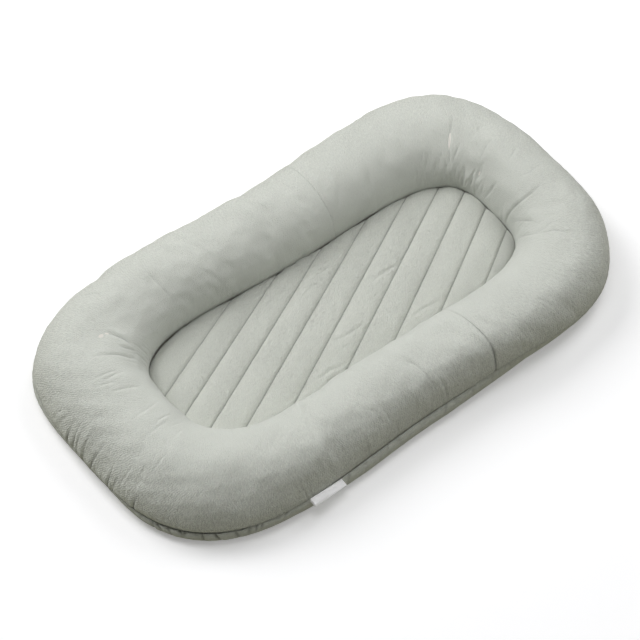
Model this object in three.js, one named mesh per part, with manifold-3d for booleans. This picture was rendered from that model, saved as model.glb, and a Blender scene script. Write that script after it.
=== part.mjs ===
// Infant lounger: a stuffed ring round a quilted pad, in a cloth cover with a zip underneath.
// Millimetres, +Z up, +X towards the head end, -Y towards the side with the label.
// The origin is on the floor, below the middle of the ring.
import * as THREE from "three";
import { mergeVertices } from "three/addons/utils/BufferGeometryUtils.js";
import Module from "manifold-3d";

// Perimeter seam, seen from above
const perimeterHalfLength = 430;
const perimeterHalfWidthFar = 293;
const perimeterHalfWidthNear = 273;
const perimeterWaistFarShare = 0.223;
const perimeterWaistNearShare = 0.158;
const perimeterTaperShare = 0.023;
const perimeterSquareness = 2.94;

// Where the perimeter seam lies outside that curve: degrees round the ring, spread, how far
const outlineSwells = [
  [-28, 15, -5],
  [14, 13, -4.5],
  [50, 24, 8],
  [88, 18, 7.5],
  [125, 20, -11.5],
  [163, 16, 3],
];

// Seam between the ring and the pad, seen from above
const padHalfLength = 291.6;
const padHalfWidth = 118.8;
const padWaistFarShare = 0.141;
const padWaistNearShare = 0.081;
const padTaperShare = 0.024;
const padSquareness = 3.6;
const padShiftX = 7.75;

// Cloths and clearances
const clothThickness = 1.5;
const casingThickness = 1;
const fitGap = 0.3;

// Ring section
const ringHeight = 96;
const ringLeanIn = 9.2;
const perimeterSeamHeightSide = 32;
const perimeterSeamHeightEnd = 22;
const footInset = 6;
const footRound = 5;
const footInnerShare = 0.32;
const footRampShare = 0.11;
const stripOuterShares = [0.15, 0.6];
const stripLowerShares = [0.55, 0.22];
const ringTopSteps = 9;

// Cross seams of the ring cover, and the gap that the casing is stuffed through
const crossSeamFarX = 84;
const crossSeamNearX = 115;
const headCornerSteps = 13;
const footCornerSteps = 15;
const stuffingGapFromX = 40;
const stuffingGapToX = 190;

// Pad
const baseLift = 6;
const insertThickness = 10.2;
const quiltEdgeThickness = 6.7;
const quiltStitchThickness = 3.4;
const quiltCrownThickness = 11;
const quiltRollInShare = 0.16;
const channelFullness = 0.7;
const edgeFullness = 0.8;
const padCornerChord = 34;

// Stitch lines across the pad, fanned out from the one that crosses its middle
const stitchMiddleX = 34;
const stitchPitch = 41;
const stitchShortest = 115;
const stitchAngle = THREE.MathUtils.degToRad(29);
const stitchFan = THREE.MathUtils.degToRad(1.1);
const channelSteps = 4;
const channelLengthSteps = 12;

// Zip chain and tapes
const zipEndMargin = 44;
const zipPitch = 4.6;
const toothThickness = 2.2;
const toothReach = 0.9;
const spineInnerY = 1.7;
const spineOuterY = 2.6;
const tapeWidth = 12.5;
const tapeThickness = 0.7;
const tapeTailLength = 14;
const stopLength = 3;
const stopWall = 0.8;
const stopGrip = 1.5;

// Zip slider and its pull
const sliderLength = 11;
const sliderFlare = 1.3;
const sliderPlate = 1.1;
const sliderFlange = 0.8;
const sliderCorner = 1.2;
const wedgeLength = 3;
const wedgeHalfWidth = 0.9;
const wedgeSetback = 0.5;
const lugWidth = 2;
const lugHalfLength = 2.6;
const lugWall = 0.9;
const lugDrop = 1.5;
const pullPinRadius = 0.7;
const pullThickness = 1;
const pullArm = 1.1;
const pullArmLength = 4.4;
const pullLength = 26;
const pullHalfWidth = 3.2;
const pullHoleRadius = 1.6;

// Woven label, folded double and held in the perimeter seam
const labelCentreX = -193;
const labelLength = 62;
const labelReach = 14;
const labelLeaf = 0.6;
const labelFoldGap = 0.6;
const labelDroop = THREE.MathUtils.degToRad(8);

const perimeterSeam = {
  halfLength: perimeterHalfLength,
  halfWidthFar: perimeterHalfWidthFar,
  halfWidthNear: perimeterHalfWidthNear,
  waistFarShare: perimeterWaistFarShare,
  waistNearShare: perimeterWaistNearShare,
  taperShare: perimeterTaperShare,
  squareness: perimeterSquareness,
  shiftX: 0,
};
const padSeam = {
  halfLength: padHalfLength,
  halfWidthFar: padHalfWidth,
  halfWidthNear: padHalfWidth,
  waistFarShare: padWaistFarShare,
  waistNearShare: padWaistNearShare,
  taperShare: padTaperShare,
  squareness: padSquareness,
  shiftX: padShiftX,
};

// Heights of the layers in the middle, from the base cloth up
const baseTop = baseLift + clothThickness;
const insertBottom = baseTop + fitGap;
const quiltBottom = insertBottom + insertThickness + fitGap;
const padSeamHeight = quiltBottom + quiltEdgeThickness;

// Places along the zip: tape, stop, teeth, slider, stop and tape again
const tapeStartX = padShiftX - padHalfLength + zipEndMargin;
const tapeEndX = padShiftX + padHalfLength - zipEndMargin;
const bottomStopX = tapeStartX + tapeTailLength;
const chainStartX = bottomStopX + stopLength + fitGap;
const topStopX = tapeEndX - tapeTailLength - stopLength;
const sliderFrontX = topStopX - fitGap;
const sliderRearX = sliderFrontX - sliderLength;
const chainEndX = sliderFrontX - wedgeSetback - wedgeLength - fitGap;

// Heights and widths across the zip
const tapeBottom = baseTop + fitGap;
const tapeInnerY = spineOuterY + fitGap;
const tapeOuterY = tapeInnerY + tapeWidth;
const chainHeight = tapeBottom + tapeThickness / 2;
const channelHalfHeight = toothThickness / 2 + fitGap;
const sliderTop = chainHeight + channelHalfHeight + sliderPlate;
const sliderBottom = chainHeight - channelHalfHeight - sliderPlate;
const sliderRearHalfWidth = tapeInnerY + sliderFlange;
const sliderMouthHalfWidth = sliderRearHalfWidth + sliderFlare;
const eyeRadius = pullPinRadius + fitGap;
const eyeX = (sliderFrontX + sliderRearX) / 2;
const eyeHeight = sliderBottom - lugDrop;

// Points nearer to each other than this are one point
const mergeDistance = fitGap / 1000;

// Sides of a small round hole or pin
const roundSteps = 12;

const wasm = await Module();
wasm.setup();

// One seam's plan: a rounded oblong with drawn-in waists, a little narrower towards the head end
function seamPoint(seam, angle) {
  const c = Math.cos(angle);
  const s = Math.sin(angle);
  const along = Math.sign(c) * Math.abs(c) ** (2 / seam.squareness);
  const across = Math.sign(s) * Math.abs(s) ** (2 / seam.squareness);
  const halfWidth = s >= 0 ? seam.halfWidthFar : seam.halfWidthNear;
  const waist = s >= 0 ? seam.waistFarShare : seam.waistNearShare;
  const drawnIn = 1 - waist * (1 - along ** 2) ** 2;
  const tapered = 1 - seam.taperShare * along;
  return new THREE.Vector2(
    seam.shiftX + seam.halfLength * along,
    halfWidth * across * drawnIn * tapered,
  );
}

// The angle, on the far side, at which the perimeter seam passes the length x
function farAngleAt(x) {
  const along = x / perimeterSeam.halfLength;
  return Math.acos(Math.sign(along) * Math.abs(along) ** (perimeterSeam.squareness / 2));
}

function seamHeightAt(outer) {
  const end = (outer.x / perimeterSeam.halfLength) ** 2;
  return THREE.MathUtils.lerp(perimeterSeamHeightSide, perimeterSeamHeightEnd, end);
}

// One section of the stuffed ring, as distances r from the pad seam and heights z
function ringSection(width, seamHeight) {
  const points = [];
  const rise = ringHeight - (padSeamHeight + seamHeight) / 2;
  for (let j = 0; j <= ringTopSteps; j++) {
    const u = (Math.PI * j) / ringTopSteps;
    const out = (1 - Math.cos(u)) / 2;
    const leanIn = ringLeanIn * Math.sin(u) * (1 - out);
    const z = THREE.MathUtils.lerp(padSeamHeight, seamHeight, out) + rise * Math.sin(u);
    points.push(new THREE.Vector2(width * out - leanIn, z));
  }
  for (const [insetShare, heightShare] of [stripOuterShares, stripLowerShares]) {
    points.push(new THREE.Vector2(width - footInset * insetShare, seamHeight * heightShare));
  }
  points.push(new THREE.Vector2(width - footInset - footRound, 0));
  points.push(new THREE.Vector2(width * footInnerShare, 0));
  points.push(new THREE.Vector2(width * footRampShare, baseLift / 2));
  points.push(new THREE.Vector2(0, baseLift));
  return points;
}

// Moves every side of a closed section inwards by the same depth
function insetSection(points, depth) {
  const count = points.length;
  const sideNormal = (a, b) => {
    const d = b.clone().sub(a).normalize();
    return new THREE.Vector2(d.y, -d.x);
  };
  return points.map((p, i) => {
    const before = sideNormal(points[(i + count - 1) % count], p);
    const after = sideNormal(p, points[(i + 1) % count]);
    const mitre = before.clone().add(after).divideScalar(1 + before.dot(after));
    return p.clone().addScaledVector(mitre, depth);
  });
}

// How far the perimeter seam lies outside its plain curve at an angle
function outlineMove(angle) {
  let move = 0;
  for (const [degrees, spread, swell] of outlineSwells) {
    const away = THREE.MathUtils.radToDeg(angle) - degrees;
    const nearest = THREE.MathUtils.euclideanModulo(away + 180, 360) - 180;
    move += swell * Math.exp(-((nearest / spread) ** 2));
  }
  return move;
}

// The ring's section at an angle, set inwards by a depth, as points in space
function ringLoop(angle, depth) {
  const inner = seamPoint(padSeam, angle);
  const outer = seamPoint(perimeterSeam, angle);
  const outwards = outer.clone().sub(inner).normalize();
  outer.addScaledVector(outwards, outlineMove(angle));
  const width = inner.distanceTo(outer);
  const section = insetSection(ringSection(width, seamHeightAt(outer)), depth);
  return section.map(
    (p) => new THREE.Vector3(inner.x + outwards.x * p.x, inner.y + outwards.y * p.x, p.y),
  );
}

const perimeterPoint = ringTopSteps;
const footOuterPoint = ringTopSteps + 3;
const sectionPoints = ringTopSteps + 7;

function evenSteps(from, to, steps) {
  return Array.from({ length: steps + 1 }, (_, i) => from + ((to - from) * i) / steps);
}

// Stations round the ring, clockwise seen from above: from seam to seam in four corners
const farSeamAngle = farAngleAt(crossSeamFarX);
const nearSeamAngle = -farAngleAt(crossSeamNearX);
const headFarAngles = evenSteps(farSeamAngle, 0, headCornerSteps);
const headNearAngles = evenSteps(0, nearSeamAngle, headCornerSteps);
const footNearAngles = evenSteps(nearSeamAngle, -Math.PI, footCornerSteps);
const footFarAngles = evenSteps(Math.PI, farSeamAngle, footCornerSteps);
const headAngles = [...headFarAngles, ...headNearAngles.slice(1)];
const footAngles = [...footNearAngles, ...footFarAngles.slice(1)];
const ringAngles = [...headAngles.slice(0, -1), ...footAngles.slice(0, -1)];

// A body from its faces of three or more points, without those that have shrunk to a line
function bodyFromFaces(faces) {
  const positions = [];
  for (const face of faces) {
    for (let k = 1; k + 1 < face.length; k++) {
      const corners = [face[0], face[k], face[k + 1]];
      const shrunk = corners.some((p, i) => p.distanceTo(corners[(i + 1) % 3]) < mergeDistance);
      if (!shrunk) positions.push(...corners.flatMap((p) => p.toArray()));
    }
  }
  const geometry = new THREE.BufferGeometry();
  geometry.setAttribute("position", new THREE.Float32BufferAttribute(positions, 3));
  return geometry;
}

// A cloth body between two equal grids of points, outer and inner. Joined grids close on
// themselves both ways. A cell for which isOpen says true is left out, and its edges are walled.
function clothBody(outer, inner, isJoined = false, isOpen = () => false) {
  const rows = outer.length;
  const columns = outer[0].length;
  const rowCells = isJoined ? rows : rows - 1;
  const columnCells = isJoined ? columns : columns - 1;
  const filled = (i, j) => {
    const row = isJoined ? (i + rows) % rows : i;
    const column = isJoined ? (j + columns) % columns : j;
    const inside = row >= 0 && row < rowCells && column >= 0 && column < columnCells;
    return inside && !isOpen(row, column);
  };
  const at = (grid, i, j) => grid[i % rows][j % columns];
  const faces = [];
  const wall = (i0, j0, i1, j1) =>
    faces.push([at(outer, i1, j1), at(outer, i0, j0), at(inner, i0, j0), at(inner, i1, j1)]);
  for (let i = 0; i < rowCells; i++) {
    for (let j = 0; j < columnCells; j++) {
      if (!filled(i, j)) continue;
      const corners = [
        [i, j],
        [i + 1, j],
        [i + 1, j + 1],
        [i, j + 1],
      ];
      faces.push(corners.map(([a, b]) => at(outer, a, b)));
      faces.push([...corners].reverse().map(([a, b]) => at(inner, a, b)));
      if (!filled(i, j - 1)) wall(i, j, i + 1, j);
      if (!filled(i + 1, j)) wall(i + 1, j, i + 1, j + 1);
      if (!filled(i, j + 1)) wall(i + 1, j + 1, i, j + 1);
      if (!filled(i - 1, j)) wall(i, j + 1, i, j);
    }
  }
  return bodyFromFaces(faces);
}

function toSolid(geometry) {
  const bare = geometry.index ? geometry.toNonIndexed() : geometry.clone();
  bare.deleteAttribute("normal");
  bare.deleteAttribute("uv");
  const merged = mergeVertices(bare, mergeDistance);
  return new wasm.Manifold(
    new wasm.Mesh({
      numProp: 3,
      vertProperties: merged.attributes.position.array,
      triVerts: new Uint32Array(merged.index.array),
    }),
  );
}

function toGeometry(solid) {
  const mesh = solid.getMesh();
  const geometry = new THREE.BufferGeometry();
  geometry.setAttribute("position", new THREE.BufferAttribute(mesh.vertProperties, 3));
  geometry.setIndex(new THREE.BufferAttribute(mesh.triVerts, 1));
  return geometry;
}

function joined(...geometries) {
  return toGeometry(geometries.map(toSolid).reduce((a, b) => a.add(b)));
}

function cutFrom(geometry, ...cutters) {
  return toGeometry(cutters.map(toSolid).reduce((a, b) => a.subtract(b), toSolid(geometry)));
}

function boxBetween(low, high) {
  const size = high.clone().sub(low);
  const centre = high.clone().add(low).multiplyScalar(0.5);
  return new THREE.BoxGeometry(size.x, size.y, size.z).translate(centre.x, centre.y, centre.z);
}

function shapeFrom(points) {
  return new THREE.Shape(points.map(([x, y]) => new THREE.Vector2(x, y)));
}

// A shape drawn from above, raised from the height bottom to the height top
function raised(shape, bottom, top) {
  const settings = { depth: top - bottom, bevelEnabled: false, curveSegments: roundSteps };
  return new THREE.ExtrudeGeometry(shape, settings).translate(0, 0, bottom);
}

// A shape drawn in Y and Z, run along X
function runAlongX(shape, fromX, toX) {
  const settings = { depth: toX - fromX, bevelEnabled: false };
  const turn = new THREE.Matrix4().makeBasis(
    new THREE.Vector3(0, 1, 0),
    new THREE.Vector3(0, 0, 1),
    new THREE.Vector3(1, 0, 0),
  );
  return new THREE.ExtrudeGeometry(shape, settings).applyMatrix4(turn).translate(fromX, 0, 0);
}

// A shape drawn in X and Z, run along Y both ways from the middle
function runAlongY(shape, width) {
  const settings = { depth: width, bevelEnabled: false, curveSegments: roundSteps };
  const turned = new THREE.ExtrudeGeometry(shape, settings).rotateX(Math.PI / 2);
  return turned.translate(0, width / 2, 0);
}

const finish = (color, roughness, metalness = 0) =>
  new THREE.MeshStandardMaterial({ color, roughness, metalness });
const muslin = finish("#c5cabf", 0.95);
const quiltCloth = finish("#bcc2b5", 0.95);
const baseCloth = finish("#b4bbad", 0.95);
const liningCloth = finish("#ece9e1", 0.95);
const fibre = finish("#f6f5f1", 1);
const zipCloth = finish("#aab2a3", 0.9);
const zipPlastic = finish("#b7bdb1", 0.5);
const zipMetal = finish("#c9cacb", 0.35, 1);
const satin = finish("#f4f4f2", 0.4);

const group = new THREE.Group();
function add(name, geometry, material) {
  const mesh = new THREE.Mesh(geometry, material);
  mesh.name = name;
  group.add(mesh);
}

// Ring cover: two lengths of muslin, sewn end to end across the ring and open below
function ringCover(angles, awayFromSeam) {
  const sewnEnds = [0, angles.length - 1];
  const rows = (depth) =>
    angles.map((angle, i) => {
      const loop = ringLoop(angle, depth).slice(0, perimeterPoint + 1);
      loop[perimeterPoint].z += fitGap / 2;
      const shift = sewnEnds.includes(i) ? (awayFromSeam * fitGap) / 2 : 0;
      return loop.map((p) => p.setX(p.x + shift));
    });
  return clothBody(rows(0), rows(clothThickness));
}
add("ring_cover_head", ringCover(headAngles, 1), muslin);
add("ring_cover_foot", ringCover(footAngles, -1), muslin);

// Inner casing of the ring: a closed tube of lining cloth, open only at its stuffing gap underneath
function ringCasing() {
  const outerDepth = clothThickness + fitGap;
  const outer = ringAngles.map((angle) => ringLoop(angle, outerDepth));
  const inner = ringAngles.map((angle) => ringLoop(angle, outerDepth + casingThickness));
  const isOpen = (i, j) => {
    const middle = outer[i][j].clone().add(outer[(i + 1) % outer.length][j]).multiplyScalar(0.5);
    const alongGap = middle.x > stuffingGapFromX && middle.x < stuffingGapToX && middle.y > 0;
    return alongGap && j === footOuterPoint;
  };
  return clothBody(outer, inner, true, isOpen);
}
add("ring_casing", ringCasing(), liningCloth);

// Fibre filling of the ring
function ringFilling() {
  const depth = clothThickness + fitGap + casingThickness + fitGap;
  const loops = ringAngles.map((angle) => ringLoop(angle, depth));
  const faces = [];
  loops.forEach((loop, i) => {
    const next = loops[(i + 1) % loops.length];
    loop.forEach((p, j) => {
      const k = (j + 1) % sectionPoints;
      faces.push([p, next[j], next[k], loop[k]]);
    });
  });
  return bodyFromFaces(faces);
}
add("ring_filling", ringFilling(), fibre);

// Base cloth: two halves, sewn to the perimeter seam and to each other beyond the ends of the zip
const slotHalfWidth = sliderMouthHalfWidth + fitGap;
const slotFromX = bottomStopX - fitGap;
const slotToX = topStopX + stopLength + fitGap;

function baseHalf(angles, side) {
  const rows = (depth) =>
    angles.map((angle) => {
      const loop = ringLoop(angle, depth).slice(perimeterPoint);
      loop[0].z -= fitGap / 2;
      const padEdge = seamPoint(padSeam, angle);
      loop[loop.length - 1].set(padEdge.x, padEdge.y, baseLift + depth);
      const middle = new THREE.Vector3(padEdge.x, 0, baseLift + depth);
      return [...loop, middle].map((p) => p.setY(side * Math.max(side * p.y, fitGap / 2)));
    });
  const slot = boxBetween(
    new THREE.Vector3(slotFromX, -slotHalfWidth, 0),
    new THREE.Vector3(slotToX, slotHalfWidth, insertBottom),
  );
  return cutFrom(clothBody(rows(0), rows(clothThickness)), slot);
}
add("base_cloth_far", baseHalf([...footFarAngles, ...headFarAngles.slice(1)], 1), baseCloth);
add("base_cloth_near", baseHalf([...headNearAngles, ...footNearAngles.slice(1)], -1), baseCloth);

// The pad and its insert stay a gap inside their seam with the ring
const padInset = 1 - fitGap / padHalfWidth;

// Insert: a flat wadding pad inside the cover, pressed in where it lies over the zip
function padInsert() {
  const edge = ringAngles.map((angle) => {
    const p = seamPoint(padSeam, angle);
    return [padShiftX + (p.x - padShiftX) * padInset, p.y * padInset];
  });
  const slab = raised(shapeFrom(edge), insertBottom, insertBottom + insertThickness);
  const relief = boxBetween(
    new THREE.Vector3(tapeStartX - fitGap, -tapeOuterY - fitGap, baseLift),
    new THREE.Vector3(tapeEndX + fitGap, tapeOuterY + fitGap, sliderTop + fitGap),
  );
  return cutFrom(slab, relief);
}
add("pad_insert", padInsert(), fibre);

// The stitch line so many pitches from the middle one, from the pad's near edge to its far edge.
// Lines can lie between two stitches. There is none where the count runs past the pad's end.
function stitchLine(count) {
  const step = Math.sign(count);
  let x = stitchMiddleX;
  for (let k = 0; k < Math.abs(count); k++) {
    const part = Math.min(1, Math.abs(count) - k);
    const angle = stitchAngle + stitchFan * step * (k + part / 2);
    x += (step * part * stitchPitch) / Math.sin(angle);
  }
  const angle = stitchAngle + stitchFan * count;
  const along = new THREE.Vector2(Math.cos(angle), Math.sin(angle));
  const offset = (t) => {
    const p = seamPoint(padSeam, t);
    return (p.x - x) * along.y - p.y * along.x;
  };
  const turns = evenSteps(0, 2 * Math.PI, 720);
  const ends = [];
  for (let i = 0; i + 1 < turns.length; i++) {
    const starts = offset(turns[i]) > 0;
    if (starts === offset(turns[i + 1]) > 0) continue;
    const isBefore = (t) => offset(t) > 0 === starts;
    ends.push(seamPoint(padSeam, lastWhere(isBefore, turns[i], turns[i + 1])));
  }
  if (ends.length < 2) return null;
  ends.sort((a, b) => a.dot(along) - b.dot(along));
  return { from: ends[0], to: ends[ends.length - 1] };
}

// The last value, on the way from low to high, for which the test still holds
function lastWhere(test, low, high) {
  let holds = low;
  let fails = high;
  for (let k = 0; k < 40; k++) {
    const middle = (holds + fails) / 2;
    if (test(middle)) holds = middle;
    else fails = middle;
  }
  return holds;
}

function stitchLength(count) {
  const line = stitchLine(count);
  return line ? line.from.distanceTo(line.to) : 0;
}

// Counts of the stitch lines, with a short chord beyond the last one at each end of the pad
function stitchCounts() {
  const counts = [0];
  while (stitchLength(counts[0] - 1) > stitchShortest) counts.unshift(counts[0] - 1);
  while (stitchLength(counts.at(-1) + 1) > stitchShortest) counts.push(counts.at(-1) + 1);
  const isWide = (count) => stitchLength(count) > padCornerChord;
  const start = lastWhere(isWide, counts[0], counts[0] - 2);
  const end = lastWhere(isWide, counts.at(-1), counts.at(-1) + 2);
  return [start, ...counts, end];
}

// Quilted pad: two cloths with wadding between, stitched into channels across the pad
function quiltedPad() {
  const stitches = stitchCounts();
  const lines = stitches.slice(0, -1).flatMap((count, i) =>
    evenSteps(0, 1, channelSteps)
      .slice(0, -1)
      .map((across) => [THREE.MathUtils.lerp(count, stitches[i + 1], across), across]),
  );
  lines.push([stitches.at(-1), 0]);
  const top = [];
  const bottom = [];
  lines.forEach(([count, across], i) => {
    const { from, to } = stitchLine(count);
    const isEdge = i === 0 || i === lines.length - 1;
    const puff = Math.sin(Math.PI * across) ** channelFullness;
    const sewn = THREE.MathUtils.lerp(quiltStitchThickness, quiltCrownThickness, puff);
    const topRow = [];
    const bottomRow = [];
    for (let k = 0; k <= channelLengthSteps; k++) {
      const along = (1 - Math.cos((Math.PI * k) / channelLengthSteps)) / 2;
      const fromEdge = Math.min(1, Math.min(along, 1 - along) / quiltRollInShare);
      const full = isEdge ? 0 : Math.sin((Math.PI / 2) * fromEdge) ** edgeFullness;
      const thickness = THREE.MathUtils.lerp(quiltEdgeThickness, sewn, full);
      const p = from.clone().lerp(to, along);
      const x = padShiftX + (p.x - padShiftX) * padInset;
      const y = p.y * padInset;
      topRow.push(new THREE.Vector3(x, y, quiltBottom + thickness));
      bottomRow.push(new THREE.Vector3(x, y, quiltBottom));
    }
    top.push(topRow);
    bottom.push(bottomRow);
  });
  return clothBody(top, bottom);
}
add("quilted_pad", quiltedPad(), quiltCloth);

// Zip tapes, laid on the base cloth either side of the slot
function zipTape(side) {
  const notch = tapeWidth / 4;
  const outline = [
    [tapeStartX, side * tapeInnerY],
    [tapeEndX, side * tapeInnerY],
    [tapeEndX, side * (tapeOuterY - notch)],
    [tapeEndX - notch, side * tapeOuterY],
    [tapeStartX + notch, side * tapeOuterY],
    [tapeStartX, side * (tapeOuterY - notch)],
  ];
  return raised(shapeFrom(outline), tapeBottom, tapeBottom + tapeThickness);
}
add("zip_tape_far", zipTape(1), zipCloth);
add("zip_tape_near", zipTape(-1), zipCloth);

// Zip teeth: one comb to each tape, the near one half a pitch along so that the teeth mesh
function zipTeeth(side) {
  const toothWidth = zipPitch / 2 - fitGap;
  const shift = side > 0 ? 0 : zipPitch / 2;
  const outline = [
    [chainEndX, side * spineInnerY],
    [chainEndX, side * spineOuterY],
    [chainStartX, side * spineOuterY],
    [chainStartX, side * spineInnerY],
  ];
  const teeth = Math.floor((chainEndX - chainStartX) / zipPitch - 1);
  const taper = toothWidth / 8;
  for (let k = 0; k < teeth; k++) {
    const x = chainStartX + fitGap + shift + k * zipPitch;
    outline.push([x + taper, side * spineInnerY]);
    outline.push([x, -side * toothReach]);
    outline.push([x + toothWidth, -side * toothReach]);
    outline.push([x + toothWidth - taper, side * spineInnerY]);
  }
  const shape = shapeFrom(outline);
  return raised(shape, chainHeight - toothThickness / 2, chainHeight + toothThickness / 2);
}
add("zip_teeth_far", zipTeeth(1), zipPlastic);
add("zip_teeth_near", zipTeeth(-1), zipPlastic);

// Stops: a clip on each tape's edge where the zip ends closed, and one across both where it starts
const gripY = tapeInnerY + stopGrip;
const gripInner = tapeThickness / 2 + fitGap;
const gripOuter = gripInner + stopWall;

function topStop(side) {
  const outline = [
    [side * (spineOuterY - stopWall), chainHeight - gripOuter],
    [side * gripY, chainHeight - gripOuter],
    [side * gripY, chainHeight - gripInner],
    [side * spineOuterY, chainHeight - gripInner],
    [side * spineOuterY, chainHeight + gripInner],
    [side * gripY, chainHeight + gripInner],
    [side * gripY, chainHeight + gripOuter],
    [side * (spineOuterY - stopWall), chainHeight + gripOuter],
  ];
  return runAlongX(shapeFrom(outline), topStopX, topStopX + stopLength);
}
add("zip_top_stop_far", topStop(1), zipMetal);
add("zip_top_stop_near", topStop(-1), zipMetal);

function bottomStop() {
  const rightHalf = [
    [gripY, -gripOuter],
    [gripY, -gripInner],
    [spineOuterY, -gripInner],
    [spineOuterY, gripInner],
    [gripY, gripInner],
    [gripY, gripOuter],
  ];
  const leftHalf = rightHalf.map(([y, z]) => [-y, -z]);
  const outline = [...rightHalf, ...leftHalf].map(([y, z]) => [y, chainHeight + z]);
  return runAlongX(shapeFrom(outline), bottomStopX, bottomStopX + stopLength);
}
add("zip_bottom_stop", bottomStop(), zipMetal);

// Slider: two plates joined by a wedge at the mouth, with flanges that leave a slot for each tape
function sliderOutline(inset) {
  const front = sliderFrontX - inset;
  const rear = sliderRearX + inset;
  const mouth = sliderMouthHalfWidth - inset;
  const tail = sliderRearHalfWidth - inset;
  const right = [
    [rear, tail - sliderCorner],
    [rear + sliderCorner, tail],
    [front - sliderCorner, mouth],
    [front, mouth - sliderCorner],
  ];
  const left = [...right].reverse().map(([x, y]) => [x, -y]);
  return [...left, ...right];
}

function sliderFlangePair(side) {
  const outline = [
    [sliderRearX + sliderCorner, side * sliderRearHalfWidth],
    [sliderFrontX - sliderCorner, side * sliderMouthHalfWidth],
    [sliderFrontX - sliderCorner, side * (sliderMouthHalfWidth - sliderFlange)],
    [sliderRearX + sliderCorner, side * (sliderRearHalfWidth - sliderFlange)],
  ];
  const slot = tapeThickness / 2 + fitGap;
  const seat = sliderPlate / 2;
  const shape = shapeFrom(outline);
  return [
    raised(shape, chainHeight - channelHalfHeight - seat, chainHeight - slot),
    raised(shape, chainHeight + slot, chainHeight + channelHalfHeight + seat),
  ];
}

function zipSlider() {
  const plate = shapeFrom(sliderOutline(0));
  const lower = raised(plate, sliderBottom, sliderBottom + sliderPlate);
  const upper = raised(plate, sliderTop - sliderPlate, sliderTop);
  const wedgeFront = sliderFrontX - wedgeSetback;
  const wedgeMiddle = wedgeFront - wedgeLength / 3;
  const wedge = shapeFrom([
    [wedgeFront, 0],
    [wedgeMiddle, wedgeHalfWidth],
    [wedgeFront - wedgeLength, 0],
    [wedgeMiddle, -wedgeHalfWidth],
  ]);
  const seat = sliderPlate / 2;
  const post = raised(wedge, sliderBottom + seat, sliderTop - seat);
  const lugBottom = eyeHeight - eyeRadius - lugWall;
  const lugShape = shapeFrom([
    [eyeX - lugHalfLength, sliderBottom + seat],
    [eyeX + lugHalfLength, sliderBottom + seat],
    [eyeX + lugHalfLength, eyeHeight],
    [eyeX + lugHalfLength - lugWall, lugBottom],
    [eyeX - lugHalfLength + lugWall, lugBottom],
    [eyeX - lugHalfLength, eyeHeight],
  ].reverse());
  lugShape.holes.push(new THREE.Path().absarc(eyeX, eyeHeight, eyeRadius, 0, 2 * Math.PI, true));
  const lug = runAlongY(lugShape, lugWidth);
  return joined(lower, upper, post, lug, ...sliderFlangePair(1), ...sliderFlangePair(-1));
}
add("zip_slider", zipSlider(), zipMetal);

// Pull: a flat tab, forked round the slider's lug, with a pin through the lug's eye
function zipPull() {
  const armInner = lugWidth / 2 + fitGap;
  const armOuter = armInner + pullArm;
  const start = eyeX + pullPinRadius;
  const fork = eyeX - pullArmLength;
  const end = eyeX - pullLength;
  const right = [
    [fork, armInner],
    [start, armInner],
    [start, armOuter],
    [fork, pullHalfWidth],
    [end + pullHalfWidth / 2, pullHalfWidth],
    [end, pullHalfWidth / 2],
  ];
  const left = [...right].reverse().map(([x, y]) => [x, -y]);
  const outline = shapeFrom([...right, ...left]);
  const holeX = end + pullHalfWidth;
  outline.holes.push(new THREE.Path().absarc(holeX, 0, pullHoleRadius, 0, 2 * Math.PI, true));
  const tab = raised(outline, eyeHeight - pullThickness / 2, eyeHeight + pullThickness / 2);
  const pin = new THREE.CylinderGeometry(pullPinRadius, pullPinRadius, 2 * armOuter, 12);
  pin.translate(eyeX, 0, eyeHeight);
  return joined(tab, pin);
}
add("zip_pull", zipPull(), zipMetal);

// Label: a strip of woven satin folded along its outer edge, its two leaves held in the seam
function seamLabel() {
  const seamAt = (x) => seamPoint(perimeterSeam, -farAngleAt(x));
  const from = seamAt(labelCentreX - labelLength / 2);
  const to = seamAt(labelCentreX + labelLength / 2);
  const middle = seamAt(labelCentreX);
  const along = to.clone().sub(from).normalize();
  const outwards = new THREE.Vector2(along.y, -along.x);
  const bow = Math.max(0, middle.clone().sub(from).dot(outwards));
  const root = from.clone().add(to).multiplyScalar(0.5);
  root.addScaledVector(outwards, bow + fitGap);
  const half = labelLeaf + labelFoldGap / 2;
  const outline = shapeFrom([
    [0, -half],
    [labelReach - labelLeaf / 2, -half],
    [labelReach, -half + labelLeaf / 2],
    [labelReach, half - labelLeaf / 2],
    [labelReach - labelLeaf / 2, half],
    [0, half],
    [0, half - labelLeaf],
    [labelReach - labelLeaf, half - labelLeaf],
    [labelReach - labelLeaf, -half + labelLeaf],
    [0, -half + labelLeaf],
  ]);
  const settings = { depth: labelLength, bevelEnabled: false };
  const strip = new THREE.ExtrudeGeometry(outline, settings).translate(0, 0, -labelLength / 2);
  strip.rotateZ(-labelDroop);
  const turn = new THREE.Matrix4().makeBasis(
    new THREE.Vector3(outwards.x, outwards.y, 0),
    new THREE.Vector3(0, 0, 1),
    new THREE.Vector3(-along.x, -along.y, 0),
  );
  return strip.applyMatrix4(turn).translate(root.x, root.y, seamHeightAt(middle));
}
add("seam_label", seamLabel(), satin);

export default group;
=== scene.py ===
# Infant lounger: a stuffed ring round a quilted pad, sewn into one muslin cover with a zip
# underneath. Metres, +Z up, +X towards the head end, -Y towards the side with the label.
import math

import bmesh
import bpy
import numpy as np
from mathutils import Matrix, Vector


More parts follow.
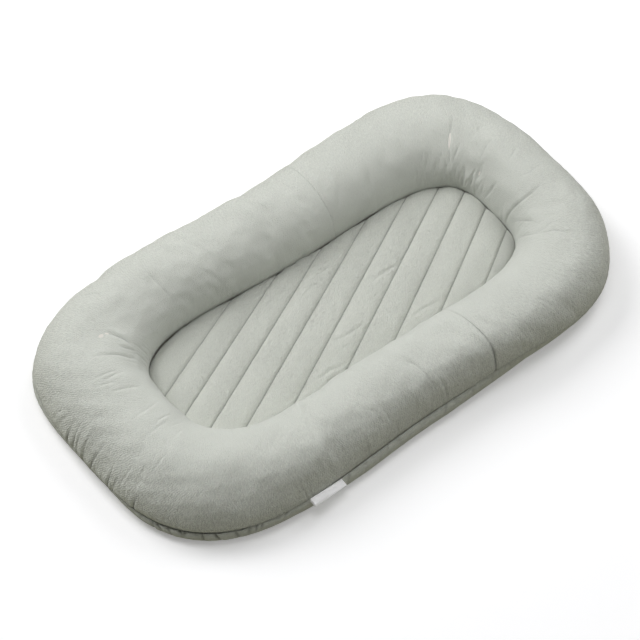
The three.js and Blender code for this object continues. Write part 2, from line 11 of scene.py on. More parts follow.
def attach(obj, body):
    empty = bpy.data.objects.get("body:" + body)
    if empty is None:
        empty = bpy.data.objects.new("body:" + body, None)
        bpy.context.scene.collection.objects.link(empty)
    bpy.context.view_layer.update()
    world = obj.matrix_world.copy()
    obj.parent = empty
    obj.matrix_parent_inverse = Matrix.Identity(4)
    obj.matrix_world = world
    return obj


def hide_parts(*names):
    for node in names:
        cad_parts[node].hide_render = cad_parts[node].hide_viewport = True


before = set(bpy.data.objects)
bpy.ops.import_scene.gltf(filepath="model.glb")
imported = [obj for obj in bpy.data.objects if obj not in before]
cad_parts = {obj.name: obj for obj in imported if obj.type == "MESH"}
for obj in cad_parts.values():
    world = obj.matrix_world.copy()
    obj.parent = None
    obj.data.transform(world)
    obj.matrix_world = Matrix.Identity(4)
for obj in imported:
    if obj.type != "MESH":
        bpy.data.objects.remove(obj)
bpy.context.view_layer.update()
scene = bpy.context.scene
scene.view_settings.view_transform = "Standard"


# Camera: it stands on the label side, well above the foot end, with a long lens, so that the
# far wall of the ring looks hardly smaller than the near one.
camera_turn, camera_lift = math.radians(-37.217), math.radians(53.601)
camera_aim, camera_distance = Vector((-0.03311, -0.0166, 0.05)), 4.2765
camera = bpy.data.objects.new("camera", bpy.data.cameras.new("camera"))
scene.collection.objects.link(camera)
scene.camera = camera
camera.data.sensor_width, camera.data.lens = 36, 168.75
backwards = Vector((
    math.sin(camera_turn) * math.cos(camera_lift),
    -math.cos(camera_turn) * math.cos(camera_lift),
    math.sin(camera_lift),
))
camera.location = camera_aim + camera_distance * backwards
camera.rotation_mode = "QUATERNION"
camera.rotation_quaternion = backwards.to_track_quat("Z", "Y")


# Studio: a white paper sweep in a dim white room, under four soft boxes: a strong one behind the
# far side, one beyond the head end, one above and a weak one in front. The camera sees the paper
# near the lounger with the shadow on it, and pure white further off.
full_turn = 2 * math.pi


class Wire:
    """What comes out of a node. It can be reckoned with like a number."""
    def __init__(self, finish, socket):
        self.finish, self.socket = finish, socket

    def reckon(self, operation, *values):
        feeds = dict(enumerate(values))
        return self.finish.node("Math", {"operation": operation}, feeds)

    def __add__(self, other): return self.reckon("ADD", self, other)
    def __radd__(self, other): return self.reckon("ADD", other, self)
    def __sub__(self, other): return self.reckon("SUBTRACT", self, other)
    def __rsub__(self, other): return self.reckon("SUBTRACT", other, self)
    def __mul__(self, other): return self.reckon("MULTIPLY", self, other)
    def __rmul__(self, other): return self.reckon("MULTIPLY", other, self)
    def size(self): return self.reckon("ABSOLUTE", self)
    def wave(self): return self.reckon("SINE", self * full_turn)
    def held(self): return self.reckon("MINIMUM", self.reckon("MAXIMUM", self, 0.0), 1.0)
    def beside(self, name): return Wire(self.finish, self.socket.node.outputs[name])


class Finish:
    """The nodes of a material or of the room."""
    def __init__(self, owner):
        self.owner = owner
        owner.use_nodes = True
        owner.node_tree.nodes.clear()

    def node(self, kind, settings={}, feeds={}, out=0):
        made = self.owner.node_tree.nodes.new("ShaderNode" + kind)
        for name, value in settings.items():
            setattr(made, name, value)
        for name, value in feeds.items():
            if isinstance(value, Wire):
                self.owner.node_tree.links.new(value.socket, made.inputs[name])
            else:
                made.inputs[name].default_value = value
        return Wire(self, made.outputs[out]) if made.outputs else None

    def own_place(self):
        return self.node("TexCoord", out=3)

    def cloth_place(self, along, across):
        """The place on the cloth, in threads of so many metres along and across it."""
        uv = self.node("UVMap", {"uv_map": "cloth"})
        scale = (1 / along, 1 / across, 1)
        return self.node("Mapping", {}, {"Vector": uv, "Scale": scale})

    def threads(self, along, across):
        """The same place as two numbers, along and across the cloth."""
        place = self.cloth_place(along, across)
        apart = self.node("SeparateXYZ", {}, {"Vector": place})
        return apart, apart.beside("Y")

    def noise(self, place, scale=1.0, detail=2.0, roughness=0.5):
        feeds = {"Vector": place, "Scale": scale, "Detail": detail, "Roughness": roughness}
        return self.node("TexNoise", {"noise_dimensions": "3D"}, feeds)

    def patches(self, along, across, detail=2.0):
        return self.noise(self.cloth_place(along, across), detail=detail)

    def shade(self, mask, under, over):
        """Where the mask is 1 the second colour covers the first."""
        feeds = {0: mask, 6: under, 7: over}
        return self.node("Mix", {"data_type": "RGBA"}, feeds, out=2)

    def surface(self, colour, roughness, height, **more):
        bumps = {"Height": height, "Distance": 1.0, "Strength": 1.0}
        feeds = {name.replace("_", " "): value for name, value in more.items()}
        feeds |= {"Base Color": colour, "Roughness": roughness.held()}
        feeds["Normal"] = self.node("Bump", {}, bumps)
        coat = self.node("BsdfPrincipled", {}, feeds)
        self.node("OutputMaterial", {}, {"Surface": coat})
        return self.owner


def new_finish(name):
    return Finish(bpy.data.materials.new(name))


def paper_sweep():
    finish = new_finish("studio_paper")
    rays = finish.node("LightPath")
    seen = rays.reckon("MAXIMUM", rays, rays.beside("Is Glossy Ray"))
    seen = seen.reckon("MAXIMUM", seen, rays.beside("Is Transmission Ray"))
    paper = finish.node("BsdfDiffuse", {}, {"Color": (0.54, 0.53, 0.43, 1)})
    bright = finish.node("BsdfDiffuse", {}, {"Color": (0.88, 0.88, 0.88, 1)})
    glow = finish.node("Emission", {}, {"Strength": 0.27})
    shadowed = finish.node("AddShader", {}, {0: bright, 1: glow})
    white = finish.node("Emission", {}, {"Strength": 1.0})
    distance = finish.node(
        "VectorMath", {"operation": "LENGTH"}, {0: finish.own_place()}, out=1)
    far_off = (distance * 1.4 - 0.72).held()
    lit = finish.node("MixShader", {}, {0: far_off, 1: shadowed, 2: white})
    both = finish.node("MixShader", {}, {0: seen, 1: paper, 2: lit})
    finish.node("OutputMaterial", {}, {"Surface": both})
    half_size, drop = 9, 0.0006
    bm = bmesh.new()
    bmesh.ops.create_grid(bm, x_segments=1, y_segments=1, size=half_size)
    mesh = bpy.data.meshes.new("floor")
    bm.to_mesh(mesh)
    bm.free()
    mesh.materials.append(finish.owner)
    floor = bpy.data.objects.new("floor", mesh)
    floor.location.z = -drop
    scene.collection.objects.link(floor)


paper_sweep()

room = Finish(bpy.data.worlds.new("studio_room"))
scene.world = room.owner
room_light = room.node("Background", {}, {"Color": (1, 1, 0.94, 1), "Strength": 0.05})
room_seen = room.node("Background", {}, {"Color": (1, 1, 1, 1)})
room_rays = room.node("LightPath")
room_both = room.node("MixShader", {}, {0: room_rays, 1: room_light, 2: room_seen})
room.node("OutputWorld", {}, {"Surface": room_both})

for lamp_name, place, size, power in (
    ("soft_box_behind", (-1.0, 2.6, 2.9), 2.4, 106),
    ("soft_box_head_end", (2.6, 0.4, 3.0), 2.0, 43),
    ("soft_box_above", (-0.3, -0.2, 4.1), 2.0, 39),
    ("soft_box_in_front", (1.5, -2.8, 2.6), 2.0, 14),
):
    lamp = bpy.data.lights.new(lamp_name, "AREA")
    lamp.size, lamp.energy, lamp.color = size, power, (0.985, 0.985, 1.0)
    holder = bpy.data.objects.new(lamp_name, lamp)
    holder.location = place
    holder.rotation_mode = "QUATERNION"
    holder.rotation_quaternion = Vector(place).to_track_quat("Z", "Y")
    scene.collection.objects.link(holder)


# Ring cover: two lengths of crinkled cotton muslin, sewn end to end by two seams across the
# ring, to the quilted pad along its inner edge and to the base along its outer edge. The fibre
# inside blows it up into a tube, and it puckers where a seam takes it in.
perimeter_seam = {
    "half_length": 0.430, "far": 0.293, "near": 0.273, "far_waist": 0.223,
    "near_waist": 0.158, "taper": 0.023, "squareness": 2.94, "shift": 0.0,
}
pad_seam = {
    "half_length": 0.2916, "far": 0.1188, "near": 0.1188, "far_waist": 0.141,
    "near_waist": 0.081, "taper": 0.024, "squareness": 3.6, "shift": 0.00775,
}
# Where the perimeter seam lies outside that curve: degrees round the ring, spread, millimetres
outline_swells = (
    (-28, 15, -5), (14, 13, -4.5), (50, 24, 8), (88, 18, 7.5), (125, 20, -11.5), (163, 16, 3),
)
ring_height, ring_lean_in = 0.096, 0.0092
pad_seam_height = 0.025
seam_height_side, seam_height_end = 0.032, 0.022
# The near side's perimeter seam is drawn up towards the head end: where, how far along, how high
drawn_up_x, drawn_up_spread, drawn_up = 0.165, 0.095, 0.011
swell_height, swell_spread = 0.0044, 0.13
cross_seam_far_x, cross_seam_near_x = 0.084, 0.115
cover_width, cloth_thickness = 0.215, 0.0015
crease_shade_half_width = 0.9


def bell(x):
    return np.exp(-(x**2))


def half_width(seam, far_side, along):
    """The width of one side of a seam's outline, before its ends round off."""
    full = np.where(far_side, seam["far"], seam["near"])
    waist = np.where(far_side, seam["far_waist"], seam["near_waist"])
    return full * (1 - waist * (1 - along**2) ** 2) * (1 - seam["taper"] * along)


def seam_plan(seam, angle):
    c, s = np.cos(angle), np.sin(angle)
    along = np.sign(c) * np.abs(c) ** (2 / seam["squareness"])
    across = np.sign(s) * np.abs(s) ** (2 / seam["squareness"])
    y = half_width(seam, s >= 0, along) * across
    return np.stack([seam["shift"] + seam["half_length"] * along, y], axis=-1)


def outline(angle):
    """The perimeter seam as it lies: the plain curve, moved in and out along the ring's width."""
    plain = seam_plan(perimeter_seam, angle)
    outwards = plain - seam_plan(pad_seam, angle)
    outwards = outwards / np.linalg.norm(outwards, axis=-1)[..., None]
    move = np.zeros(np.shape(angle))
    for degrees, spread, swell in outline_swells:
        away = (np.degrees(angle) - degrees + 180) % 360 - 180
        move = move + swell / 1000 * bell(away / spread)
    return plain + outwards * move[..., None]


def across_ring(angle):
    """Where the pad seam and the perimeter seam lie at an angle, and how far apart they are."""
    inner, outer = seam_plan(pad_seam, angle), outline(angle)
    return inner, outer, np.linalg.norm(outer - inner, axis=-1)


def seam_height(outer):
    end = (outer[..., 0] / perimeter_seam["half_length"]) ** 2
    lift = bell((outer[..., 0] - drawn_up_x) / drawn_up_spread) * (outer[..., 1] < 0)
    return seam_height_side + (seam_height_end - seam_height_side) * end + drawn_up * lift


def on_ring(angle, distance, height):
    """Points at a distance outwards from the pad seam and a height, at an angle round the ring."""
    inner, outer, width = across_ring(angle)
    plan = inner + (outer - inner) * (distance / width)[..., None]
    return np.concatenate([plan, height[..., None]], axis=-1)


def round_ring(angle, degrees, values):
    """What changes round the ring, between its values at some degrees."""
    return np.interp(np.degrees(angle), degrees, values, period=360)


def near_side(angle):
    return round_ring(angle, (-172, -158, -28, 0), (0, 1, 1, 0))


def near_swell(angle, across):
    """How far the near side of the tube stands out beyond the plain section."""
    fuller = round_ring(angle, (-105, -85, -45, -25), (0, 1, 1, 0))
    higher = round_ring(angle, (-174, -162, -130, -108), (0, 1, 1, 0))
    middle = 0.68 + 0.04 * fuller - 0.12 * higher
    return (near_side(angle) + fuller) * swell_height * bell((across - middle) / swell_spread)


def plain_section(width, outer_height, across):
    """The tube's plain section at shares across it: the share of its width gone, its bow, how
    high it rises, then distance and height."""
    out, bow = (1 - np.cos(math.pi * across)) / 2, np.sin(math.pi * across)
    rise = ring_height - (pad_seam_height + outer_height) / 2
    distance = width * out - ring_lean_in * bow * (1 - out)
    height = pad_seam_height + (outer_height - pad_seam_height) * out + rise * bow
    return out, bow, rise, distance, height


def ring_crown(angle, across):
    """The cover, from the pad seam (across 0) over the crown to the perimeter seam (1)."""
    _, outer, width = across_ring(angle)
    out, bow, rise, distance, height = plain_section(width, seam_height(outer), across)
    swell = near_swell(angle, across)
    level, steep = (out - 0.5) / width, bow / (2 * rise)
    slope = np.hypot(level * 2, steep)
    return on_ring(angle, distance + swell * 2 * level / slope, height + swell * steep / slope)


def cross_seam_angle(x, side):
    share = x / perimeter_seam["half_length"]
    power = perimeter_seam["squareness"] / 2
    return side * math.acos(math.copysign(abs(share) ** power, share))


def run_along(line):
    """How far along a line of points each of them lies."""
    return np.concatenate([[0], np.cumsum(np.linalg.norm(np.diff(line, axis=0), axis=1))])


def middle_run(start, end):
    """Fine angles from start to end, and how far along the middle of the tube each lies."""
    fine = np.linspace(start, end, 4001)
    inner, outer, _ = across_ring(fine)
    return fine, run_along((inner + outer) / 2)


def even_angles(start, end, shares):
    """Angles at shares of the way along the middle of the tube, and the whole way's length."""
    fine, gone = middle_run(start, end)
    return np.interp(np.asarray(shares) * gone[-1], gone, fine), gone[-1]


def smooth_mesh(bm, mesh):
    bm.to_mesh(mesh)
    bm.free()
    mesh.shade_smooth()


def new_piece(name, bm, material):
    mesh = bpy.data.meshes.new(name)
    smooth_mesh(bm, mesh)
    mesh.materials.append(material)
    piece = bpy.data.objects.new(name, mesh)
    scene.collection.objects.link(piece)
    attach(piece, "lounger")
    return piece


def give_wall(piece, thickness, offset=-1):
    wall = piece.modifiers.new("cloth_thickness", "SOLIDIFY")
    wall.thickness, wall.offset = thickness, offset


def cloth_grid(steps_along, steps_across, place, length, width):
    """A length of cloth as a grid: place(along, across) gives its points for shares from 0 to 1."""
    bm = bmesh.new()
    bmesh.ops.create_grid(bm, x_segments=steps_along, y_segments=steps_across, size=0.5)
    shares = np.array([vert.co[:2] for vert in bm.verts]) + 0.5
    cloth = bm.loops.layers.uv.new("cloth")
    metres = shares * (length, width)
    for face in bm.faces:
        for loop in face.loops:
            loop[cloth].uv = metres[loop.vert.index]
    for vert, point in zip(bm.verts, place(shares[:, 0], shares[:, 1])):
        vert.co = point
    return bm, shares


def points_of(mesh, what="co"):
    flat = np.empty(3 * len(mesh.vertices))
    mesh.vertices.foreach_get(what, flat)
    return flat.reshape(-1, 3)


def move_points(mesh, points):
    mesh.vertices.foreach_set("co", points.ravel())
    mesh.update()


def blow_up(piece, sewn, pressure, spare, share, most):
    """Fills a piece of cloth from below, its sewn points held, and keeps a share of the puckers."""
    last_frame, smoothings = 20, 40
    before = points_of(piece.data)
    held = [int(i) for i in np.flatnonzero(sewn)]
    piece.vertex_groups.new(name="sewn").add(held, 1.0, "REPLACE")
    cloth = piece.modifiers.new("cloth", "CLOTH")
    cloth.settings.vertex_group_mass = "sewn"
    cloth.settings.use_pressure = True
    cloth.settings.uniform_pressure_force = pressure
    cloth.settings.shrink_min = -spare
    cloth.settings.effector_weights.gravity = 0
    cloth.collision_settings.use_collision = False
    cloth.point_cache.frame_start, cloth.point_cache.frame_end = 1, last_frame
    for number in range(1, last_frame + 1):
        scene.frame_set(number)
    shaped = piece.evaluated_get(bpy.context.evaluated_depsgraph_get()).data
    moved = points_of(shaped) - before
    piece.modifiers.remove(cloth)
    piece.vertex_groups.clear()
    scene.frame_set(1)
    ends = np.array([edge.vertices[:] for edge in piece.data.edges])
    count = np.bincount(ends.ravel(), minlength=len(before))[:, None]
    broad = moved.copy()
    for _ in range(smoothings):
        total = np.stack([
            np.bincount(ends[:, 0], broad[ends[:, 1], k], len(before))
            + np.bincount(ends[:, 1], broad[ends[:, 0], k], len(before)) for k in range(3)
        ], axis=1)
        broad = 0.5 * broad + 0.5 * total / count
    puckers = (moved - broad) * share * ~sewn[:, None]
    deep = np.linalg.norm(puckers, axis=1, keepdims=True)
    kept = puckers * most * np.tanh(deep / most) / np.maximum(deep, 1e-9)
    move_points(piece.data, before + kept)


def crease(points, normals, path, width, depth, lip=0.4, sewn_start=False):
    """How far a fold along a path presses each point in, with a raised lip on its left side. Its
    half width and depth are in millimetres."""
    path, width = np.asarray(path), width / 1000
    reach = 7 * width
    near = np.all((points > path.min(0) - reach) & (points < path.max(0) + reach), axis=1)
    spots, ups = points[near], normals[near]
    best, side, gone = np.full(len(spots), 1.0), np.zeros(len(spots)), np.zeros(len(spots))
    starts = run_along(path)
    for start, a, b in zip(starts, path[:-1], path[1:]):
        length = np.linalg.norm(b - a)
        share = np.clip((spots - a) @ (b - a) / length**2, 0, 1)
        away = spots - (a + share[:, None] * (b - a))
        distance = np.linalg.norm(away, axis=1)
        closer = distance < best
        left = np.sign(np.einsum("ij,ij->i", np.cross(b - a, away), ups))
        best = np.where(closer, distance, best)
        side = np.where(closer, left, side)
        gone = np.where(closer, (start + share * length) / starts[-1], gone)
    if sewn_start:
        fade = (1 - gone) ** 0.8 * np.minimum(1, 0.35 + 6 * gone)
    else:
        fade = np.sin(math.pi * gone) ** 0.6
    x = best * side / width
    pressed = np.zeros(len(points))
    pressed[near] = depth / 1000 * fade * (lip * bell((x - 2.6) / 2) - bell(x))
    return pressed


def paint_crease_shade(piece, painted_crease_shade, most):
    """Painted shade: the finish darkens the cloth where this attribute puts it in a fold or seam
    groove.
    """
    painted_shade = piece.data.attributes.new("painted_crease_shade", "FLOAT", "POINT")
    painted_shade.data.foreach_set("value", np.clip(painted_crease_shade, 0, most))


def linear(red, green, blue):
    return (*(((c / 255 + 0.055) / 1.055) ** 2.4 for c in (red, green, blue)), 1)


def dimmed(colour, share):
    return (*(share * c for c in colour[:3]), 1)


def muslin_finish(name, shade, pitch, unbroken, relief, channel=0, slack=0, paints_crease_shade=False):
    """Crinkled muslin: short ridges across the cloth's length, and pebbles where it is slack."""
    finish = new_finish(name)
    drift, sway = finish.patches(0.008, 0.012), finish.patches(0.012, 0.009)
    thick, broad = finish.patches(0.030, 0.045), finish.patches(0.007, 0.022)
    dashes, grain = finish.patches(0.0015, 0.0055), finish.patches(0.0013, 0.0017)
    blotches = finish.patches(0.09, 0.09)
    along, upwards = finish.threads(pitch, pitch)
    ribs = (along + drift * 1.9).wave()
    breaks = (upwards * 0.62 + sway * 1.9).wave()
    crepe = (ribs * unbroken + ribs * breaks * (1 - unbroken)) * (0.35 + thick * 1.3)
    yarns = (along * 3.0).wave() * (upwards * 3.0).wave()
    low = (upwards * (pitch / slack) - 0.35).held() if slack else 0.12
    height = (crepe + dashes * 2.4 + grain * 2.0 + yarns * 0.1) * relief
    if slack:
        height = height * (low * 1.3 + 0.7)
    height = height + broad * 0.0003
    # The colour follows the relief. Painted shade darkens the pits of the ridges, dashes and
    # pebbles, and more so low on the tube's side, where the light grazes. The blotches are the
    # muslin's own uneven tone.
    painted_shade = (dashes - 0.5) * (low * 3.2 + 0.3) + (grain - 0.5) * (low * 2.4 + 0.4)
    tone = ((blotches - 0.5) * 0.25 + crepe * 0.10 + painted_shade + 0.5).held()
    # Painted shade in the stitched grooves: the colour darkens towards each stitch line, and a
    # narrow dark line lies on it.
    if channel:
        gone = along * (pitch / channel)
        from_stitches = 0.5 - (gone.reckon("FRACT", gone) - 0.5).size()
        tone = tone * (0.05 + from_stitches * 24).held()
    colour = finish.shade(tone, dimmed(shade, 0.80), dimmed(shade, 1.20))
    if channel:
        stitch_groove_shade = (1.0 - from_stitches * 50).held() * 0.6
        colour = finish.shade(stitch_groove_shade, colour, dimmed(shade, 0.3))
    # Painted shade in deep folds and seam grooves, as far as the attribute says, down to a tenth of
    # the colour.
    if paints_crease_shade:
        painted_crease_shade = finish.node("Attribute", {"attribute_name": "painted_crease_shade"}, out=2)
        colour = finish.shade(painted_crease_shade.held(), colour, dimmed(shade, 0.10))
    return finish.surface(
        colour, grain * 0.1 + 0.86, height,
        Sheen_Weight=0.25, Sheen_Roughness=0.6, Specular_IOR_Level=0.2)


muslin = muslin_finish(
    "muslin", linear(209, 212, 203), pitch=0.0029, unbroken=0.18, relief=0.00026,
    slack=cover_width, paints_crease_shade=True)

# Folds seen on the cover: angle round the ring and share across it, in thousandths, for each
# point of the fold, then its half width and depth in millimetres
seen_folds = (
    (1965, 575, 2003, 461, 2032, 347, 2051, 236, 2.6, 0.9),
    (-1573, 442, -1571, 564, -1568, 733, -1560, 950, 2.4, 1.2),
    (-1558, 739, -1554, 831, -1550, 970, 2.2, 1.6),
    (-470, 128, -564, 278, -597, 389, 3.0, 1.2),
    (-601, 364, -584, 450, -611, 531, -577, 583, 2.4, 1.4),
    (-577, 339, -530, 403, -461, 447, 2.4, 0.9),
    (-95, 40, -112, 183, -124, 272, -128, 378, -102, 464, 2.4, 1.8),
    (-179, 114, -311, 228, -444, 333, 3.2, 1.2),
    (571, 530, 567, 400, 553, 294, 513, 175, 2.4, 1.6),
    (454, 356, 473, 289, 495, 203, 2.2, 1.4),
    (346, 208, 313, 122, 327, 33, 2.6, 1.8),
    (208, 169, 219, 78, 2.4, 1.6),
    (165, 311, 151, 225, 173, 117, 3.0, 1.2),
    (14, 253, 20, 156, 45, 58, 2.6, 1.5),
    (62, 564, 43, 467, 35, 414, 2.4, 0.8),
    (205, 472, 208, 369, 200, 281, 3.4, 1.0),
    (-14, 564, -20, 467, -9, 383, 3.0, 0.8),
    (814, 314, 827, 231, 2.2, 0.7),
    (2586, 442, 2599, 386, 2625, 325, 2656, 278, 2.6, 2.2),
    (2723, 353, 2724, 303, 2709, 244, 2.2, 1.4),
    (2832, 514, 2819, 447, 2816, 367, 2830, 292, 2813, 242, 2.6, 2.0),
    (2256, 711, 2250, 625, 2250, 567, 2.2, 0.7),
    (-1180, 633, -1158, 686, -1154, 747, 3.0, 0.8),
    (-1704, 619, -1670, 686, -1656, 817, 3.0, 1.0),
    (-1655, 653, -1641, 753, -1637, 856, 2.6, 1.0),
    (-1410, 536, -1390, 586, -1391, 672, 2.4, 0.8),
)
# Gathers in the same terms, each from the perimeter seam (share 1) upwards
seen_gathers = (
    (3108, 1000, 3107, 730, 1.7, 3.2), (3123, 1000, 3119, 720, 1.6, 2.6),
    (3083, 1000, 3084, 770, 1.7, 2.8), (3139, 1000, 3138, 720, 1.7, 2.8),
    (3152, 1000, 3165, 720, 2.0, 3.2), (3223, 1000, 3235, 820, 1.8, 3.4),
    (3247, 1000, 3269, 830, 1.8, 3.8), (3371, 1000, 3392, 850, 2.1, 4.6),
    (-1955, 1000, -2011, 710, 2.0, 1.4), (-1939, 1000, -1981, 720, 2.0, 1.4),
    (-1936, 1000, -1957, 760, 2.0, 1.2), (-1707, 1000, -1721, 740, 2.2, 1.2),
    (-1628, 1000, -1621, 830, 2.0, 1.0),
)
# Crowds of short folds: first and last angle, how many, the share where they start, how far
# across they run, and their depth in millimetres
seen_crowds = (
    (0.05, 0.95, 44, 0.10, 0.20, 0.7), (0.10, 0.90, 34, 0.03, 0.12, 0.6),
    (2.45, 2.95, 16, 0.14, 0.22, 0.6),
    (-2.45, -1.65, 50, 0.62, 0.25, 0.4), (2.95, 3.45, 34, 0.70, 0.20, 1.1),
)


def seam_pinch(angle):
    """How deep the perimeter seam takes the cloth in, at an angle round the ring."""
    degrees = (-200, -172, -140, -130, -118, -60, 0, 120)
    return round_ring(
        angle, degrees, (0.0014, 0.0024, 0.0024, 0.0017, 0.0007, 0.0006, 0.0008, 0.0010))


def turned_near(angle, start, end):
    """The same angle round the ring, in the turn that lies between start and end."""
    return angle + full_turn * np.round(((start + end) / 2 - angle) / full_turn)


def crinkles(metres, dice):
    """Fine uneven ripples of the muslin, longer across the ring than along it."""
    ripples = np.zeros(len(metres))
    for _ in range(70):
        wave = np.array([
            dice.choice([-1, 1]) / dice.uniform(0.0048, 0.013), dice.normal() / 0.030])
        ripples += np.sin(full_turn * (metres @ wave) + dice.uniform(0, full_turn))
    return ripples / 4


def to_edge(share, length):
    return np.minimum(share, 1 - share) * length


def ring_cover(name, node, start, end, steps_along, seed, steps_across=34):
    _, length = even_angles(start, end, [0, 1])

    def place(along, across):
        return ring_crown(even_angles(start, end, along)[0], across)

    bm, shares = cloth_grid(steps_along, steps_across, place, length, cover_width)
    piece = new_piece(name, bm, muslin)
    along, across = shares.T
    sewn = np.minimum(to_edge(along, length), to_edge(across, cover_width)) < 1e-5
    blow_up(piece, sewn, pressure=4.0, spare=0.03, share=0.5, most=0.0022)
    rounding = piece.modifiers.new("rounding", "SUBSURF")
    rounding.levels = rounding.render_levels = 2
    mesh = bpy.data.meshes.new_from_object(
        piece.evaluated_get(bpy.context.evaluated_depsgraph_get()))
    piece.modifiers.clear()
    piece.data = mesh
    wrinkle(piece, start, end, length, seed)
    give_wall(piece, cloth_thickness)
    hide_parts(node)


def wrinkle(piece, start, end, length, seed):
    points, ups = points_of(piece.data), points_of(piece.data, "normal")
    uv = piece.data.uv_layers["cloth"].data
    flat = np.empty(2 * len(uv))
    uv.foreach_get("uv", flat)
    corner = np.empty(len(piece.data.loops), dtype=np.int64)
    piece.data.loops.foreach_get("vertex_index", corner)
    metres = np.empty((len(points), 2))
    metres[corner] = flat.reshape(-1, 2)
    along, across = metres[:, 0] / length, metres[:, 1] / cover_width
    press, painted_crease_shade = np.zeros(len(points)), np.zeros(len(points))
    for rows, pressed, darkest, sewn_start in (
        (seen_folds, 0.7, 0.006, False), (seen_gathers, 0.5, 0.0034, True),
    ):
        for *spots, half_width_mm, depth in rows:
            turns, parts = np.array(spots).reshape(-1, 2).T / 1000
            turns = turned_near(turns, start, end)
            if turns.min() < end or turns.max() > start:
                continue
            places = np.arange(len(turns))
            fine = np.linspace(0, places[-1], 8 * places[-1] + 1)
            path = ring_crown(np.interp(fine, places, turns), np.interp(fine, places, parts))
            press += pressed * crease(
                points, ups, path, half_width_mm, depth, sewn_start=sewn_start)
            # A narrower copy of each fold sets how much painted shade its groove gets.
            narrow = crease(
                points, ups, path, crease_shade_half_width, depth, lip=0, sewn_start=sewn_start)
            painted_crease_shade = np.maximum(painted_crease_shade, -narrow / darkest)
    dice = np.random.default_rng(seed)
    fine, gone = middle_run(start, end)

    def pucker(spot, lean, first, last, half_width_mm, depth, sewn_start=True):
        run = np.clip([spot, spot + 0.6 * lean, spot + lean], 0, length)
        path = ring_crown(np.interp(run, gone, fine), np.array([first, (first + last) / 2, last]))
        return crease(points, ups, path, half_width_mm, depth, sewn_start=sewn_start)

    for sewn_share, inwards, spacing, reach, depth in (
        (1.0, -1, 0.0062, 0.30, 0.9), (0.0, 1, 0.012, 0.16, 0.55),
    ):
        for spot in np.arange(0.006, length - 0.006, spacing):
            spot += dice.uniform(-0.4, 0.4) * spacing
            last = sewn_share + inwards * reach * dice.uniform(0.25, 1.0)
            deep = depth * dice.uniform(0.25, 1.0) ** 1.7
            lean = dice.uniform(-0.010, 0.010)
            press += pucker(spot, lean, sewn_share, last, dice.uniform(1.1, 2.4), deep)
    for low, high, count, first, reach, depth in seen_crowds:
        for angle in turned_near(dice.uniform(low, high, count), start, end):
            if not end < angle < start:
                continue
            begin = first * dice.uniform(0.3, 1.3)
            lean = dice.uniform(-0.010, 0.010)
            last = begin + reach * dice.uniform(0.4, 1.0)
            press += pucker(
                np.interp(angle, fine[::-1], gone[::-1]), lean, begin, last,
                dice.uniform(1.2, 2.2), depth * dice.uniform(0.3, 1.0), sewn_start=False)
    lumps, hollows = np.zeros(len(points)), np.zeros(len(points))
    for _ in range(14):
        for waves, shortest, longest in ((lumps, 0.07, 0.16), (hollows, 0.022, 0.055)):
            wave = dice.normal(size=3) * (full_turn / dice.uniform(shortest, longest)) / 1.7
            waves += np.sin(points @ wave + dice.uniform(0, full_turn))
    held = np.minimum(1, to_edge(across, cover_width) / 0.04)
    press += (lumps * 0.00036 + hollows * 0.00013) * held
    low_on_side = 0.35 + 0.65 * np.clip((across - 0.45) / 0.3, 0, 1)
    angles = np.interp(along * length, gone, fine)
    press += crinkles(metres, dice) * held * low_on_side * (
        0.00003 + 0.00006 * near_side(angles))
    press *= np.clip(to_edge(along, length) / 0.030, 0, 1)
    from_far, from_near = (along, 1 - along) if start > 0 else (1 - along, along)
    from_far, from_near = from_far * length, from_near * length
    press -= 0.00015 * bell(from_far / 0.0030)
    press -= (0.0001 + 0.0008 * np.clip((across - 0.45) / 0.2, 0, 1)) * bell(from_near / 0.0024)
    from_rim, pinch = (1 - across) * cover_width, seam_pinch(angles)
    press -= pinch * bell(from_rim / 0.0045)
    # Painted shade along the perimeter seam, darker where it takes the cloth in deeper, and along
    # the cross seam low on the side.
    dark = 0.45 + 0.4 * np.clip((pinch - 0.0006) / 0.0018, 0, 1)
    rim_shade = dark * bell(from_rim / (0.0004 + 0.9 * pinch))
    cross_seam_shade = 0.6 * bell(from_near / 0.0013) * np.clip((across - 0.55) / 0.3, 0, 1)
    paint_crease_shade(piece, np.maximum(painted_crease_shade, np.maximum(rim_shade, cross_seam_shade)), 1)
    move_points(piece.data, points + ups * press[:, None])


far_seam = cross_seam_angle(cross_seam_far_x, 1)
near_seam = cross_seam_angle(cross_seam_near_x, -1)
ring_cover("muslin_head", "ring_cover_head", far_seam, near_seam, steps_along=190, seed=11)
ring_cover(
    "muslin_foot", "ring_cover_foot", near_seam, far_seam - full_turn, steps_along=260, seed=23)


# Ring casing and filling: a closed tube of white lining cloth, stuffed with polyester fibre
# through a gap underneath, which is sewn up last. Both come out of the cover through the zip.
foot_inset, foot_round, base_lift = 0.006, 0.005, 0.006
flat_share, ramp_share = 0.32, 0.11
# How far the cloth below the perimeter seam stands out, at degrees round the ring: in millimetres
strip_degrees = (
    -200, -188, -176, -164, -152, -128, -116, -104, -98, -89, -86, -80, -74, -62, -32, 0)
strip_bulges = (0, -5, -10.5, -3, -1, -1.3, -1, 4, 6, 4, 1, -4, -9, -11, -6, 0)


def strip_out(angle, level_share):
    return round_ring(angle, strip_degrees, strip_bulges) / 1000 * np.sqrt(1 - level_share**2)


